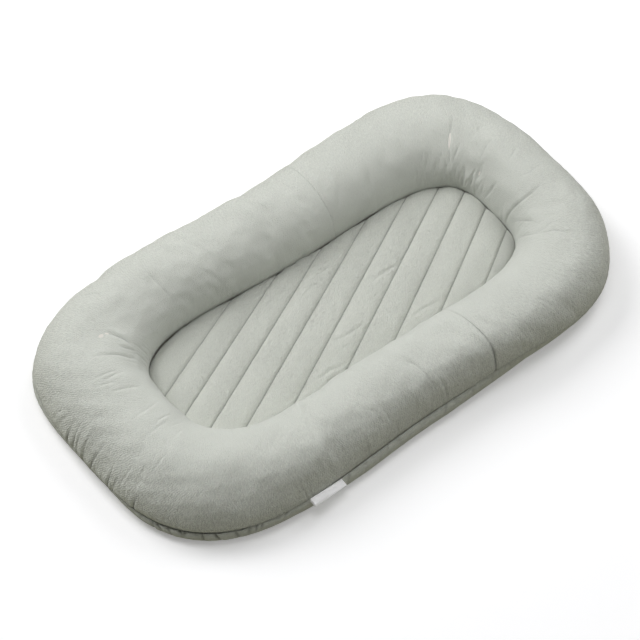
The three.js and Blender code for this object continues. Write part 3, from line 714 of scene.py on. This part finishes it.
def ring_section(angle, share, depth):
    """Points of the whole section at shares of the way round it, set inwards by a depth."""
    _, outer, width = across_ring(angle)
    height = seam_height(outer)
    *_, distance, level = plain_section(width, height, np.linspace(0, 1, 25))
    below = np.array([
        (width - 0.15 * foot_inset + strip_out(angle, 0.55), 0.55 * height),
        (width - 0.6 * foot_inset + strip_out(angle, 0.22), 0.22 * height),
        (width - foot_inset - foot_round + strip_out(angle, 0), 0), (flat_share * width, 0),
        (ramp_share * width, base_lift / 2), (0, base_lift), (0, pad_seam_height),
    ])
    line = np.concatenate([np.stack([distance, level], axis=1), below])
    gone = run_along(line)
    spots = share * gone[-1]

    def at(places):
        return np.stack([np.interp(places, gone, line[:, k]) for k in (0, 1)], axis=1)

    run = at(spots + 0.002) - at(spots - 0.002)
    run /= np.linalg.norm(run, axis=1, keepdims=True)
    inset = at(spots) + depth * np.stack([run[:, 1], -run[:, 0]], axis=1)
    corner = np.array([0, pad_seam_height])
    inwards = np.array([width / 2, 0.045]) - corner
    inset[to_edge(share, 1) < 1e-6] = corner + 1.2 * depth * inwards / np.linalg.norm(inwards)
    return on_ring(np.full(len(share), angle), inset[:, 0], inset[:, 1])


def from_table(table):
    """Looks a cloth grid's points up in a table that has one for each of its corners."""
    rows, columns = table.shape[0] - 1, table.shape[1] - 1
    return lambda along, across: table[
        np.rint(along * rows).astype(int), np.rint(across * columns).astype(int)]


def stuffed_tube(name, material, depth, steps_along, steps_across):
    girth = 0.44
    angles, length = even_angles(0, -full_turn, np.linspace(0, 1, steps_along + 1))
    shares = np.linspace(0, 1, steps_across + 1)
    table = np.stack([ring_section(angle, shares, depth) for angle in angles])
    bm, _ = cloth_grid(steps_along, steps_across, from_table(table), length, girth)
    bmesh.ops.remove_doubles(bm, verts=bm.verts[:], dist=1e-5)
    return new_piece(name, bm, material)


def lining_finish():
    finish = new_finish("lining_cotton")
    along, across = finish.threads(0.0007, 0.0007)
    weave = along.wave() * across.wave()
    folds = finish.patches(0.02, 0.05, detail=3.0)
    colour = finish.shade(folds, linear(224, 221, 212), linear(240, 238, 230))
    return finish.surface(
        colour, folds * 0.12 + 0.82, weave * 0.00003 + folds * 0.0012, Sheen_Weight=0.1)


def fibre_finish():
    finish = new_finish("polyester_fibre")
    place = finish.own_place()
    tufts = finish.noise(place, scale=55.0, detail=5.0, roughness=0.6)
    hairs = finish.noise(place, scale=420.0, detail=3.0, roughness=0.7)
    colour = finish.shade(tufts, linear(232, 231, 226), linear(250, 250, 247))
    return finish.surface(
        colour, tufts * 0.2 + 0.8, tufts * 0.004 + hairs * 0.0006, Sheen_Weight=0.4)


fibre = fibre_finish()
fibre_ring = stuffed_tube("fibre_ring", fibre, depth=0.0050, steps_along=220, steps_across=60)
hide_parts("ring_filling")

casing_tube = stuffed_tube(
    "casing_tube", lining_finish(), depth=0.0036, steps_along=260, steps_across=72)
give_wall(casing_tube, thickness=0.0008)
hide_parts("ring_casing")


# Quilted pad: a muslin top, a wadding and a backing cloth, stitched together into slanting
# channels about 41 mm wide, and sewn into the ring's inner seam all round.
quilt_bottom, quilt_edge, quilt_sewn, quilt_crown = 0.0183, 0.0067, 0.0034, 0.0112
stitch_middle_x, stitch_pitch, shortest_stitch_line = 0.034, 0.041, 0.010
stitch_angle, stitch_fan = math.radians(29), math.radians(1.1)
pad_clearance, edge_roll, fold_level = 0.0003, 0.016, 0.029
pad_outline = seam_plan(pad_seam, np.linspace(0, full_turn, 2881))
pad_centre = np.array([pad_seam["shift"], 0])
pad_outline = pad_centre + (pad_outline - pad_centre) * (1 - pad_clearance / pad_seam["far"])


def stitch_line(count):
    """Both ends, on the pad's near and far edge, of the stitch line so many pitches on."""
    step, x = math.copysign(1, count), stitch_middle_x
    for k in range(math.ceil(abs(count))):
        part = min(1, abs(count) - k)
        slant = stitch_angle + stitch_fan * step * (k + part / 2)
        x += step * part * stitch_pitch / math.sin(slant)
    angle = stitch_angle + stitch_fan * count
    along = np.array([math.cos(angle), math.sin(angle)])
    offset = (pad_outline[:, 0] - x) * along[1] - pad_outline[:, 1] * along[0]
    crossed = np.flatnonzero(np.sign(offset[:-1]) != np.sign(offset[1:]))
    if len(crossed) < 2:
        return None
    share = (offset[crossed] / (offset[crossed] - offset[crossed + 1]))[:, None]
    ends = pad_outline[crossed] + (pad_outline[crossed + 1] - pad_outline[crossed]) * share
    ends = ends[np.argsort(ends @ along)]
    return ends[0], ends[-1]


def last_count(start, step):
    """How far the stitch lines could go on before the pad's corner is only a few mm wide."""
    holds, fails = start, start + 2 * step
    for _ in range(40):
        middle = (holds + fails) / 2
        line = stitch_line(middle)
        if line is not None and np.linalg.norm(line[1] - line[0]) > shortest_stitch_line:
            holds = middle
        else:
            fails = middle
    return holds


whole_counts = range(-4, 5)
stitch_counts = [
    last_count(whole_counts[0], -1), *whole_counts, last_count(whole_counts[-1], 1)]
channels, channel_rows, channel_columns = len(stitch_counts) - 1, 32, 190


def quilt_points(along, across):
    """Points of the quilt's top: along counts the channels, across runs along their stitches."""
    numbers = np.arange(len(stitch_counts))
    lines = {
        row: stitch_line(np.interp(row, numbers, stitch_counts)) for row in np.unique(along)}
    near, far = (np.array([lines[row][end] for row in along]) for end in (0, 1))
    share = 0.5 * (1 - np.cos(math.pi * across)) / 2 + 0.5 * across
    plan = near + (far - near) * share[:, None]
    gap = np.empty(len(plan))
    for i in range(0, len(plan), 4000):
        apart = plan[i:i + 4000, None, :] - pad_outline[None, ::6, :]
        gap[i:i + 4000] = np.sqrt((apart**2).sum(-1)).min(-1)
    gap[to_edge(across, 1) < 1e-6] = 0
    arch = np.sin(math.pi * (along - np.floor(along)))
    sewn = quilt_sewn + (quilt_crown - quilt_sewn) * arch**0.32
    full = np.sin(math.pi / 2 * np.minimum(1, gap / edge_roll)) ** 0.7
    edge = quilt_edge - 0.0008 - 0.0030 * (1 - arch**0.8)
    edge = edge + 0.0020 * np.clip((plan[:, 0] - 0.17) / 0.06, 0, 1)
    height = edge + (sewn - edge) * full
    return np.concatenate([plan, (quilt_bottom + height)[:, None]], axis=1)


pad_cloth_length, pad_cloth_width = 0.62, 0.25
quilt_muslin = muslin_finish(
    "quilt_muslin", linear(213, 216, 206), pitch=0.0027, unbroken=0.15, relief=0.00042,
    channel=pad_cloth_length / channels)
# Folds seen on the pad: x and y of each point, then half width and depth, all in millimetres
quilt_folds = (
    (5, 63, 27, 63, 47, 64, 2.0, 1.0),
    (76, 5, 104, 8, 134, 9, 2.6, 1.7),
    (-32, -47, -4, -49, 27, -47, 2.4, 1.5),
    (-92, -86, -63, -84, -36, -88, 2.6, 1.8),
    (-93, -100, -67, -96, -50, -93, 2.4, 1.3),
    (82, -79, 110, -78, 134, -81, 2.4, 1.7),
    (77, 52, 96, 52, 2.2, 0.7), (-8, 50, 15, 51, 2.2, 0.8),
    (89, -93, 109, -90, 2.2, 0.9), (-35, -66, -10, -62, 2.4, 0.9),
    (-159, 49, -144, 50, 2.4, 0.6), (56, -18, 79, -18, 2.4, 0.7),
    (159, -42, 173, -39, 2.4, 0.6),
)


def open_edges(bm):
    return [edge for edge in bm.edges if edge.is_boundary]


def make_quilt():
    rows = channels * channel_rows
    bm, shares = cloth_grid(
        rows, channel_columns,
        lambda along, across: quilt_points(np.round(along * rows) / channel_rows, across),
        pad_cloth_length, pad_cloth_width,
    )
    piece = new_piece("quilt", bm, quilt_muslin)
    along, across = shares.T
    row = np.rint(along * rows) % channel_rows
    sewn = (row == 0) | (to_edge(across, 1) < 1e-6)
    blow_up(piece, sewn, pressure=3.0, spare=0.02, share=0.35, most=0.0012)
    points, ups = points_of(piece.data), points_of(piece.data, "normal")
    free = np.minimum(1, 3 - 6 * np.abs(row / channel_rows - 0.5)) * ~sewn
    press = np.zeros(len(points))
    level_points = points * (1, 1, 0) + (0, 0, fold_level)
    for *spots, half_width_mm, depth in quilt_folds:
        path = [(x / 1000, y / 1000, fold_level) for x, y in zip(spots[::2], spots[1::2])]
        press += crease(level_points, ups, path, half_width_mm, depth)
    dice = np.random.default_rng(7)
    for count in whole_counts:
        near, far = stitch_line(count)
        length = np.linalg.norm(far - near)
        run = (far - near) / length
        for spacing, shortest, longest, least, deepest, turn_least in (
            (0.011, 0.006, 0.016, 0.1, 0.55, 40), (0.0042, 0.003, 0.008, 0.15, 0.5, 60),
        ):
            for spot in np.arange(0.008, length - 0.008, spacing):
                for side in (-1, 1):
                    begin = near + run * (spot + dice.uniform(-0.35, 0.35) * spacing)
                    turn = side * math.radians(dice.uniform(turn_least, 95))
                    c, s = math.cos(turn), math.sin(turn)
                    way = np.array([run[0] * c - run[1] * s, run[0] * s + run[1] * c])
                    stop = begin + way * dice.uniform(shortest, longest)
                    press += crease(
                        level_points, ups, [(*begin, fold_level), (*stop, fold_level)],
                        dice.uniform(1.0, 2.0), dice.uniform(least, deepest), sewn_start=True)
    move_points(piece.data, points + ups * (press * free)[:, None])
    bm = bmesh.new()
    bm.from_mesh(piece.data)
    for item in bmesh.ops.extrude_edge_only(bm, edges=open_edges(bm))["geom"]:
        if isinstance(item, bmesh.types.BMVert):
            item.co.z = quilt_bottom
    bmesh.ops.contextual_create(bm, geom=open_edges(bm))
    bmesh.ops.recalc_face_normals(bm, faces=bm.faces[:])
    smooth_mesh(bm, piece.data)
    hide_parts("quilted_pad")


make_quilt()


# Quilting stitches: polyester thread in the cloth's colour, sewn by machine along every channel
# through top, wadding and backing, five millimetres to the stitch.
def hard_finish(name, dark, light, roughness, metallic, grain, dents):
    finish = new_finish(name)
    place = finish.own_place()
    rubbed = finish.noise(place, scale=grain, detail=4.0, roughness=0.6)
    fine = finish.noise(place, scale=9 * grain, detail=2.0)
    colour = finish.shade(rubbed, linear(*dark), linear(*light))
    height = rubbed * dents + fine * (0.2 * dents)
    return finish.surface(colour, rubbed * 0.22 + roughness, height, Metallic=metallic)


def make_stitches():
    pitch, half_length, half_breadth, half_height = 0.0050, 0.0019, 0.00042, 0.00034
    from_edge, level = 0.006, quilt_bottom + quilt_sewn + 0.0002
    bm = bmesh.new()
    bmesh.ops.create_uvsphere(bm, u_segments=8, v_segments=5, radius=1)
    one = bpy.data.meshes.new("one_stitch")
    bm.to_mesh(one)
    bm.free()
    size = Matrix.Diagonal((half_length, half_breadth, half_height, 1))
    row = bmesh.new()
    for count in whole_counts:
        near, far = stitch_line(count)
        length = np.linalg.norm(far - near)
        run = (far - near) / length
        turn = Matrix.Rotation(math.atan2(run[1], run[0]), 4, "Z")
        for spot in np.arange(from_edge, length - from_edge, pitch):
            stitch = one.copy()
            stitch.transform(Matrix.Translation((*(near + run * spot), level)) @ turn @ size)
            row.from_mesh(stitch)
            bpy.data.meshes.remove(stitch)
    thread = hard_finish(
        "thread", (188, 193, 182), (204, 208, 198),
        roughness=0.6, metallic=0.0, grain=900.0, dents=0.00004)
    stitches = new_piece("quilting_stitches", row, thread)


make_stitches()


# Pad insert: a flat slab of polyester wadding that lies loose between the quilt and the base,
# rounded along its edge and pressed in where it lies over the zip.
insert_bottom, insert_thickness, insert_clearance = 0.0078, 0.0102, 0.0004
insert_round, hollow_slope, top_clearance = 0.007, 0.006, 0.0002
zip_hollow_low, zip_hollow_high, zip_hollow_half_width = -0.24015, 0.25565, 0.0157
zip_hollow_height = 0.01095


def pad_width(share, side):
    """Half the pad's width, on one side, at a share of its half length from the middle."""
    squareness = pad_seam["squareness"]
    round_end = (1 - np.abs(share) ** squareness) ** (1 / squareness)
    return half_width(pad_seam, side > 0, share) * round_end


def insert_points(along, across):
    share = 0.996 * np.sin(math.pi / 2 * (2 * along - 1))
    x = pad_seam["shift"] + pad_seam["half_length"] * share
    low = -pad_width(share, -1) + insert_clearance
    high = pad_width(share, 1) - insert_clearance
    y = low + (high - low) * (1 - np.cos(math.pi * across)) / 2
    return np.stack([x, y, np.full(len(x), insert_bottom + insert_thickness / 2)], axis=1)


def everything(bm):
    return bm.verts[:] + bm.edges[:] + bm.faces[:]


def make_insert():
    bm, _ = cloth_grid(120, 60, insert_points, length=0.58, width=0.23)
    edge_points = np.array([edge.verts[0].co[:2] for edge in open_edges(bm)])
    spots = np.array([vert.co[:2] for vert in bm.verts])
    gap = np.sqrt(((spots[:, None] - edge_points[None]) ** 2).sum(-1)).min(-1)
    round_off = np.sqrt(1 - (1 - np.minimum(1, gap / insert_round)) ** 2)
    lifts = insert_thickness / 2 * (0.25 + 0.75 * round_off)
    lower = bmesh.ops.duplicate(bm, geom=everything(bm))["geom"]
    lower_verts = [item for item in lower if isinstance(item, bmesh.types.BMVert)]
    lower_faces = [item for item in lower if isinstance(item, bmesh.types.BMFace)]
    for vert, lift in zip(bm.verts[:len(spots)], lifts):
        vert.co.z += lift - top_clearance
    for vert, lift in zip(lower_verts, lifts):
        x, y, z = vert.co
        beyond = max(zip_hollow_low - x, x - zip_hollow_high, abs(y) - zip_hollow_half_width)
        pressed = min(1, max(0, 1 - beyond / hollow_slope))
        lowest = insert_bottom + (zip_hollow_height - insert_bottom) * pressed
        vert.co.z = max(z - lift, lowest)
    bmesh.ops.reverse_faces(bm, faces=lower_faces)
    bmesh.ops.bridge_loops(bm, edges=open_edges(bm))
    bmesh.ops.recalc_face_normals(bm, faces=bm.faces[:])
    piece = new_piece("pad_wadding", bm, fibre)
    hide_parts("pad_insert")


make_insert()


# Base cloth: two halves of plain cotton under the lounger. Each is sewn to the ring cover at
# the perimeter seam, bulges a little below it, lies on the floor under the ring and comes up
# to the zip in the middle. Beyond the ends of the zip the halves are sewn to each other.
slot_low, slot_high, slot_half_width = -0.22615, 0.24165, 0.0053
base_rows, base_columns = 660, 66
half_seam_gap = 0.00015
# The strip below the seam: millimetres out beyond the seam, and height as a share of the seam's
strip_places = (
    (0.4, 0.93), (0.9, 0.80), (0.4, 0.55), (-2.2, 0.27), (-6.5, 0.06),
)


def base_section(angle, shares):
    _, outer, width = across_ring(angle)
    height = seam_height(outer)
    strip = np.array([
        (width, height - half_seam_gap),
        *((width + out / 1000, share * height) for out, share in strip_places),
        (width - foot_inset - foot_round, 0),
    ])
    strip[:, 0] += strip_out(angle, np.clip(strip[:, 1] / height, 0, 1))
    under = [(flat_share * width, 0), (ramp_share * width, base_lift / 2), (0, base_lift)]
    places = np.concatenate([np.linspace(0, 0.42, len(strip)), [0.66, 0.74, 0.80]])
    distance, level = (
        np.interp(shares, places, column) for column in np.concatenate([strip, under]).T)
    points = on_ring(np.full(len(shares), angle), distance, level)
    side = 1 if math.sin(angle) >= 0 else -1
    inside = np.clip((shares - 0.80) / 0.20, 0, 1)
    y = points[:, 1] * (1 - inside) + side * half_seam_gap * inside
    points[:, 1] = side * np.maximum(side * y, half_seam_gap)
    return points


def base_half(name, node, start, end, seed):
    angles, length = even_angles(start, end, np.linspace(0, 1, base_rows + 1))
    angles[0], angles[-1] = start, end
    angles = np.clip(angles, end + 1e-6, start - 1e-6)
    shares = np.linspace(0, 1, base_columns + 1)
    table = np.stack([base_section(angle, shares) for angle in angles])
    in_strip = shares[1:-1] < 0.44
    for _ in range(3):
        inner = table[:, 1:-1]
        evened = inner + 0.25 * (table[:, :-2] - 2 * inner + table[:, 2:])
        inner[:, in_strip] = evened[:, in_strip]
    bm, where = cloth_grid(base_rows, base_columns, from_table(table), length, width=0.30)
    piece = new_piece(name, bm, base_cotton)
    points, ups = points_of(piece.data), points_of(piece.data, "normal")
    dice = np.random.default_rng(seed)
    press, painted_crease_shade = np.zeros(len(points)), np.zeros(len(points))
    for spot in np.arange(0.004, length - 0.004, 0.0075):
        spot += dice.uniform(-0.003, 0.003)
        lean = dice.uniform(-0.010, 0.010)
        run = np.clip(np.array([spot, spot + lean / 2, spot + lean]) / length, 0, 1)
        row = np.rint(run * base_rows).astype(int)
        reach = dice.uniform(0.12, 0.42)
        column = np.rint(np.array([0, reach / 2, reach]) * base_columns).astype(int)
        path = table[row, column]
        if np.diff(run_along(path)).min() < 1e-4:
            continue
        corner = round_ring(angles[row[0]], (-172, -160, -125, -112), (0, 1, 1, 0))
        depth = (1.3 + 2.4 * corner) * dice.uniform(0.15, 1.0) ** 2
        fold = crease(points, ups, path, dice.uniform(1.4, 2.8), depth, sewn_start=True)
        press += fold
        # Painted shade in the deep folds of the strip, as deep as each fold presses in.
        painted_crease_shade = np.maximum(painted_crease_shade, -fold / 0.0034)
    along, across = where.T
    pinch = seam_pinch(angles[np.rint(along * base_rows).astype(int)])
    press -= 0.7 * pinch * bell(across / 0.02)
    press += 0.0022 * np.sin(math.pi * np.clip(across / 0.40, 0, 1)) ** 2
    press *= np.clip((0.46 - across) / 0.05, 0, 1)
    points = points + ups * press[:, None]
    points[:, 2] = np.maximum(points[:, 2], 0)
    move_points(piece.data, points)
    paint_crease_shade(piece, painted_crease_shade, 0.7)
    bm = bmesh.new()
    bm.from_mesh(piece.data)
    for spot, way in (
        ((slot_low, 0, 0), (1, 0, 0)), ((slot_high, 0, 0), (1, 0, 0)),
        ((0, slot_half_width, 0), (0, 1, 0)), ((0, -slot_half_width, 0), (0, 1, 0)),
    ):
        bmesh.ops.bisect_plane(bm, geom=everything(bm), dist=1e-6, plane_co=spot, plane_no=way)
    centres = [(face, face.calc_center_median()) for face in bm.faces]
    cut = [face for face, centre in centres
           if slot_low < centre.x < slot_high and abs(centre.y) < slot_half_width]
    bmesh.ops.delete(bm, geom=cut, context="FACES")
    smooth_mesh(bm, piece.data)
    give_wall(piece, cloth_thickness)
    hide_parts(node)


base_cotton = muslin_finish(
    "base_cotton", linear(214, 217, 206), pitch=0.0029, unbroken=0.3, relief=0.00030, paints_crease_shade=True)
base_half("base_far", "base_cloth_far", start=math.pi, end=0, seed=31)
base_half("base_near", "base_cloth_near", start=0, end=-math.pi, seed=37)


# Zip: two woven tapes sewn to the edges of the slot, each with a moulded comb of teeth, a stop
# at each end, and a cast slider with a flat pull. It runs along the middle of the base.
tape_low_x, tape_high_x = -0.23985, 0.25535
tape_inner_y, tape_outer_y = 0.0029, 0.0154
tape_bottom, tape_thickness, tape_notch = 0.0078, 0.0007, 0.0031


def tape_finish():
    finish = new_finish("zip_tape")
    along, across = finish.threads(0.0009, 0.0016)
    twill, ribs = (along + across * 0.5).wave(), across.wave()
    worn = finish.patches(0.012, 0.012, detail=3.0)
    shade = (twill * 0.25 + worn * 0.6 + 0.1).held()
    colour = finish.shade(shade, linear(150, 158, 145), linear(182, 189, 176))
    return finish.surface(
        colour, worn * 0.15 + 0.75, twill * 0.00006 + ribs * 0.00008, Sheen_Weight=0.15)


tape_weave = tape_finish()


def zip_tape(name, node, side):
    length, width = tape_high_x - tape_low_x, tape_outer_y - tape_inner_y

    def place(along, across):
        x = tape_low_x + length * along
        y = side * (tape_inner_y + width * (across if side > 0 else 1 - across))
        ripple = 0.00006 * np.sin(x * 310) * np.abs(y) / tape_outer_y
        return np.stack([x, y, tape_bottom + tape_thickness / 2 + ripple], axis=1)

    bm, _ = cloth_grid(240, 8, place, length, width)
    for end, sign in ((tape_low_x, -1), (tape_high_x, 1)):
        bmesh.ops.bisect_plane(
            bm, geom=everything(bm), dist=1e-6,
            plane_co=(end - sign * tape_notch, side * tape_outer_y, 0),
            plane_no=(sign, side, 0), clear_outer=True)
    piece = new_piece(name, bm, tape_weave)
    give_wall(piece, tape_thickness * 0.9, 0)
    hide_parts(node)


zip_tape("tape_far", "zip_tape_far", 1)
zip_tape("tape_near", "zip_tape_near", -1)

zip_plastic = hard_finish(
    "zip_plastic", (172, 179, 166), (190, 196, 184),
    roughness=0.32, metallic=0.0, grain=260.0, dents=0.00008)
zip_metal = hard_finish(
    "zip_metal", (178, 179, 180), (214, 215, 216),
    roughness=0.20, metallic=1.0, grain=420.0, dents=0.00004)
for node in ("zip_teeth_far", "zip_teeth_near"):
    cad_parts[node].material_slots[0].material = zip_plastic
for node in ("zip_top_stop_far", "zip_top_stop_near", "zip_bottom_stop", "zip_slider", "zip_pull"):
    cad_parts[node].material_slots[0].material = zip_metal


# Seam label: a strip of white woven satin, folded double along its outer edge, with both ends
# of the strip sewn into the perimeter seam. Its two leaves stand a little apart.
label_centre_x, label_length, label_reach = -0.193, 0.055, 0.0124
label_leaf, label_droop, label_clearance = 0.0005, math.radians(8), 0.0003
label_gap, label_gape, label_sag = 0.0006, 0.0019, 0.0010


def satin_finish():
    finish = new_finish("satin")
    along, across = finish.threads(0.0005, 0.0012)
    floats = (along + across * 0.25).wave()
    soft = finish.patches(0.01, 0.01)
    shade = (floats * 0.2 + soft * 0.5 + 0.2).held()
    colour = finish.shade(shade, linear(247, 247, 247), linear(254, 254, 254))
    # The faint white glow is painted light, which lifts the label out of the ring's shadow.
    return finish.surface(
        colour, soft * 0.15 + 0.42, floats * 0.00003 + soft * 0.0003, Specular_IOR_Level=0.8,
        Sheen_Weight=0.1, Emission_Color=(1, 1, 1, 1), Emission_Strength=0.1)


def make_label():
    start, middle, end = (
        outline(np.array(cross_seam_angle(label_centre_x + part * label_length, -1)))
        for part in (-0.5, 0, 0.5))
    run = (end - start) / np.linalg.norm(end - start)
    outwards = np.array([run[1], -run[0]])
    bow = max(0, (middle - start) @ outwards)
    root = (start + end) / 2 + outwards * (bow + label_clearance)
    level = float(seam_height(middle))

    def place(along, across):
        turn = across * 2 - 1
        reach = label_reach * (1 - np.abs(turn)) + 0.0004
        gap = label_gap + label_gape * (1 - along) ** 2
        apart = gap * np.sign(turn) * np.minimum(1, np.abs(turn) * 6)
        sag = label_sag * (reach / label_reach) ** 2 * np.cos(along * 2.2)
        drop = reach * math.sin(label_droop) + sag
        spot = (along - 0.5) * label_length
        plan = root + run * spot[:, None] + outwards * (reach * math.cos(label_droop))[:, None]
        return np.concatenate([plan, (level - drop - apart)[:, None]], axis=1)

    bm, _ = cloth_grid(62, 40, place, label_length, 2 * label_reach)
    piece = new_piece("label_strip", bm, satin_finish())
    give_wall(piece, label_leaf, 0)
    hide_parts("seam_label")


make_label()
